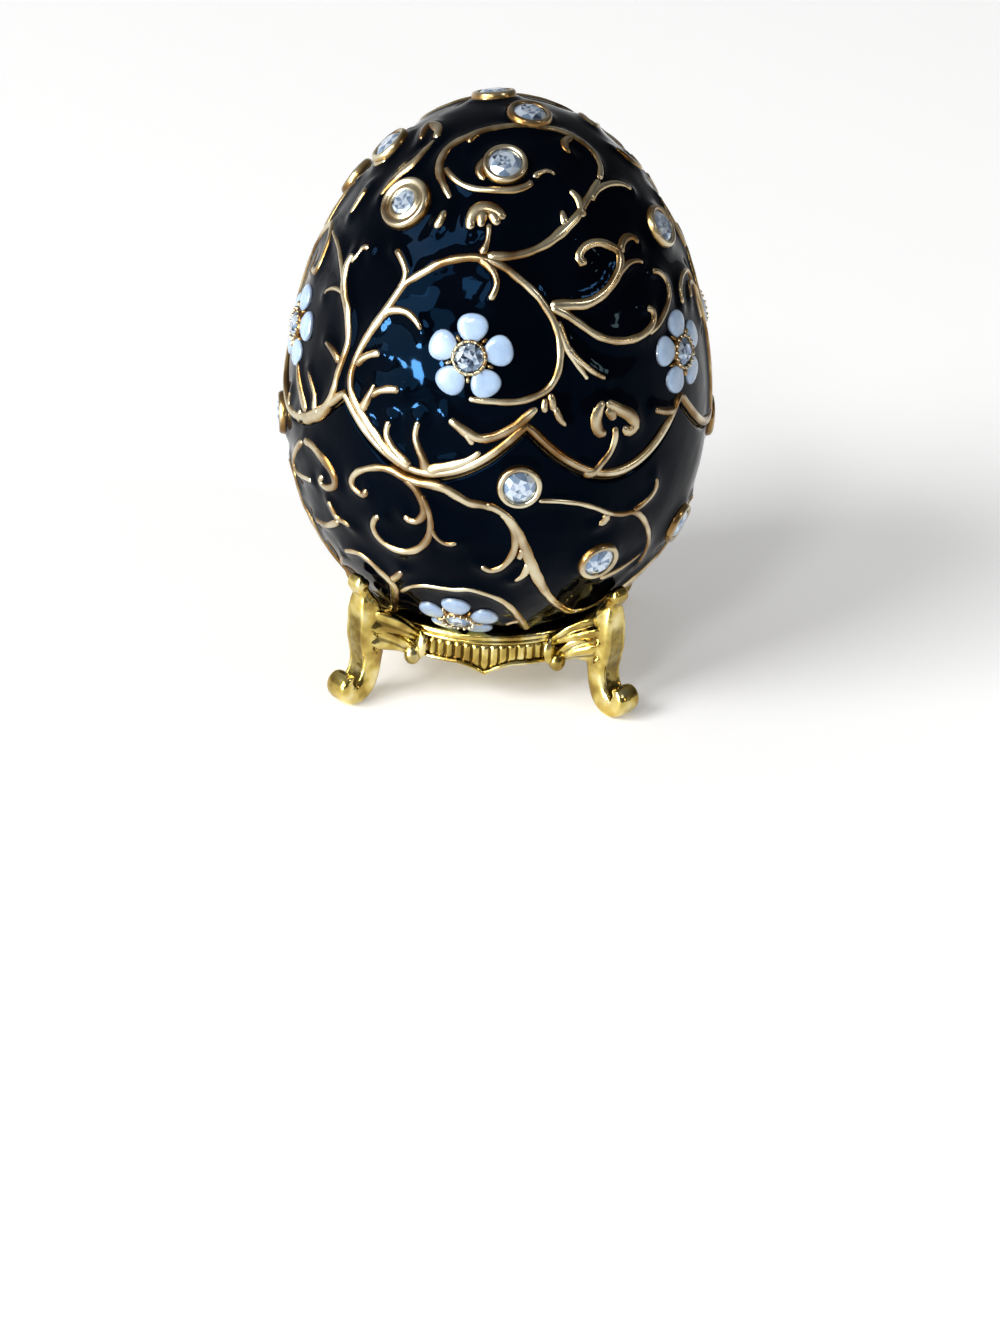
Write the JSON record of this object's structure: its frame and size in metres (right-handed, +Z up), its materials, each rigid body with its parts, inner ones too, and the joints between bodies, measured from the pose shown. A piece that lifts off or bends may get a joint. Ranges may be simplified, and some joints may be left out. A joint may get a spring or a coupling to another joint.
{
  "type": "jewelled egg trinket box",
  "caption": "Egg-shaped trinket box of black enamel with raised gold scrollwork, crystals and flowers, a hinged scalloped lid and a four-legged scroll stand.",
  "frame": {"origin": "on the egg's upright axis, level with the soles of the feet; the hinge at the back and the stones at the front reach almost equally far, so it is also the bottom centre of the bounding box", "axes": "+Z up along the egg's axis, -Y the front with the large flower, +Y the back with the hinge, +X to the viewer's right when facing the front"},
  "size_m": [0.0504, 0.0507, 0.0675],
  "materials": {
    "enamelled_pewter": "cast pewter, glossy black enamel between pale gold relief",
    "pale_gold_plate": "pale gold plate, satin",
    "bright_gold_plate": "polished yellow gold plate",
    "foiled_crystal": "cut crystal with a foiled back",
    "magnet_steel": "nickel-plated magnet",
    "screw_steel": "plain steel screw"
  },
  "bodies": {
    "base": {"base_hinge_leaf": "pale_gold_plate", "base_magnet": "magnet_steel", "base_shell": "enamelled_pewter", "base_stone_back_far_right": "foiled_crystal", "base_stone_back_front_flower": "foiled_crystal", "base_stone_back_left": "foiled_crystal", "base_stone_back_right": "foiled_crystal", "base_stone_far_right": "foiled_crystal", "base_stone_front": "foiled_crystal", "base_stone_front_flower": "foiled_crystal", "base_stone_left": "foiled_crystal", "base_stone_right": "foiled_crystal", "hinge_pin": "bright_gold_plate", "stand": "bright_gold_plate", "stand_screw": "screw_steel"},
    "lid": {"lid_hinge_leaf": "pale_gold_plate", "lid_magnet": "magnet_steel", "lid_shell": "enamelled_pewter", "lid_stone_back_brow": "foiled_crystal", "lid_stone_back_crown": "foiled_crystal", "lid_stone_back_front_flower": "foiled_crystal", "lid_stone_back_left_flower": "foiled_crystal", "lid_stone_back_left_shoulder": "foiled_crystal", "lid_stone_back_right_flower": "foiled_crystal", "lid_stone_back_right_shoulder": "foiled_crystal", "lid_stone_brow": "foiled_crystal", "lid_stone_crown": "foiled_crystal", "lid_stone_front_flower": "foiled_crystal", "lid_stone_left_crown": "foiled_crystal", "lid_stone_left_flower": "foiled_crystal", "lid_stone_left_shoulder": "foiled_crystal", "lid_stone_right_flower": "foiled_crystal", "lid_stone_right_shoulder": "foiled_crystal"}
  },
  "joints": [
    {"name": "lid_hinge", "type": "hinge", "parent": "base", "child": "lid", "pos_m": [0, 0.0243, 0.03162], "axis": [-1, 0, 0], "range_deg": [0, 100]}
  ]
}
